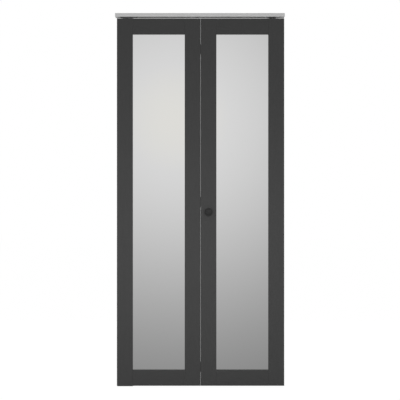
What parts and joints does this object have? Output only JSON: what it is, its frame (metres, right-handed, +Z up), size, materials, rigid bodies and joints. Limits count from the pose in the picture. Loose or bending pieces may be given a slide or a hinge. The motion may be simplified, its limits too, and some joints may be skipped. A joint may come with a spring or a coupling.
{
  "type": "bifold closet door",
  "caption": "Mirrored bifold closet door: framed mirror panels hinged together, turning on pivot pins under a ceiling track with a sprung guide, a knob and a floor bracket.",
  "frame": {"origin": "on the floor, in the middle of the overall box, below the middle of the track", "axes": "+Z up along the door's height; the track runs along X and the room and knob lie towards -Y; Y is the thin direction"},
  "size_m": [0.914, 0.0724, 2.0105],
  "materials": {
    "charcoal_frame": "satin charcoal lacquer on wood",
    "mirror_glass": "clear silvered mirror",
    "hardboard": "bare hardboard",
    "satin_track": "satin, rolled",
    "dark_steel": "dark satin coating",
    "zinc_steel": "zinc plated",
    "black_nylon": "matte",
    "black_satin": "satin black"
  },
  "bodies": {
    "root": {"top_track": "satin_track", "top_pivot_bracket": "dark_steel", "top_pivot_lock_screw": "dark_steel", "bottom_pivot_bracket": "dark_steel", "bottom_pivot_socket": "black_nylon"},
    "pivot_panel": {"pivot_outer_stile": "charcoal_frame", "pivot_fold_stile": "charcoal_frame", "pivot_top_rail": "charcoal_frame", "pivot_bottom_rail": "charcoal_frame", "pivot_mirror": "mirror_glass", "pivot_backing_board": "hardboard", "pivot_bead_left": "charcoal_frame", "pivot_bead_right": "charcoal_frame", "pivot_bead_bottom": "charcoal_frame", "pivot_bead_top": "charcoal_frame", "pivot_hinge_leaf_low": "dark_steel", "pivot_hinge_leaf_middle": "dark_steel", "pivot_hinge_leaf_high": "dark_steel", "pivot_hinge_screw_low_lower": "dark_steel", "pivot_hinge_screw_low_upper": "dark_steel", "pivot_hinge_screw_middle_lower": "dark_steel", "pivot_hinge_screw_middle_upper": "dark_steel", "pivot_hinge_screw_high_lower": "dark_steel", "pivot_hinge_screw_high_upper": "dark_steel", "hinge_pin_low": "dark_steel", "hinge_pin_middle": "dark_steel", "hinge_pin_high": "dark_steel", "top_pivot_sleeve": "black_nylon", "top_pivot_spring": "zinc_steel", "bottom_pivot_insert": "black_nylon", "bottom_pivot_nut": "zinc_steel", "bottom_pivot_pin": "zinc_steel"},
    "lead_panel": {"lead_outer_stile": "charcoal_frame", "lead_fold_stile": "charcoal_frame", "lead_top_rail": "charcoal_frame", "lead_bottom_rail": "charcoal_frame", "lead_mirror": "mirror_glass", "lead_backing_board": "hardboard", "lead_bead_left": "charcoal_frame", "lead_bead_right": "charcoal_frame", "lead_bead_bottom": "charcoal_frame", "lead_bead_top": "charcoal_frame", "lead_hinge_leaf_low": "dark_steel", "lead_hinge_leaf_middle": "dark_steel", "lead_hinge_leaf_high": "dark_steel", "lead_hinge_screw_low_lower": "dark_steel", "lead_hinge_screw_low_upper": "dark_steel", "lead_hinge_screw_middle_lower": "dark_steel", "lead_hinge_screw_middle_upper": "dark_steel", "lead_hinge_screw_high_lower": "dark_steel", "lead_hinge_screw_high_upper": "dark_steel", "guide_sleeve": "black_nylon", "guide_spring": "zinc_steel", "knob_rose": "black_satin", "knob": "black_satin", "knob_bolt": "zinc_steel"},
    "top_pivot_plunger": {"top_pivot_pin": "zinc_steel"},
    "guide_plunger": {"guide_pin": "zinc_steel"},
    "guide_runner": {"guide_shoe": "black_nylon"}
  },
  "joints": [
    {"name": "pivot_turn", "type": "hinge", "parent": "root", "child": "pivot_panel", "pos_m": [-0.3846, 0.01135, 1], "axis": [0, 0, -1], "range_deg": [0, 86]},
    {"name": "fold_turn", "type": "hinge", "parent": "pivot_panel", "child": "lead_panel", "pos_m": [0.0035, 0.03265, 1], "axis": [0, 0, 1], "range_deg": [0, 172]},
    {"name": "shoe_swivel", "type": "hinge", "parent": "guide_plunger", "child": "guide_runner", "pos_m": [0.3916, 0.01135, 1.99], "axis": [0, 0, -1], "range_deg": [0, 86]},
    {"name": "top_pin_press", "type": "slide", "parent": "pivot_panel", "child": "top_pivot_plunger", "axis": [0, 0, -1], "range_m": [0, 0.0085], "stiffness_N_per_m": 600, "springref_m": -0.006, "deforming": ["top_pivot_spring"]},
    {"name": "guide_pin_press", "type": "slide", "parent": "lead_panel", "child": "guide_plunger", "axis": [0, 0, -1], "range_m": [0, 0.005], "stiffness_N_per_m": 600, "springref_m": -0.006, "deforming": ["guide_spring"]}
  ],
  "couplings": [
    {"joint": "fold_turn", "follows": "pivot_turn", "ratio": 2},
    {"joint": "shoe_swivel", "follows": "pivot_turn", "ratio": 1}
  ]
}
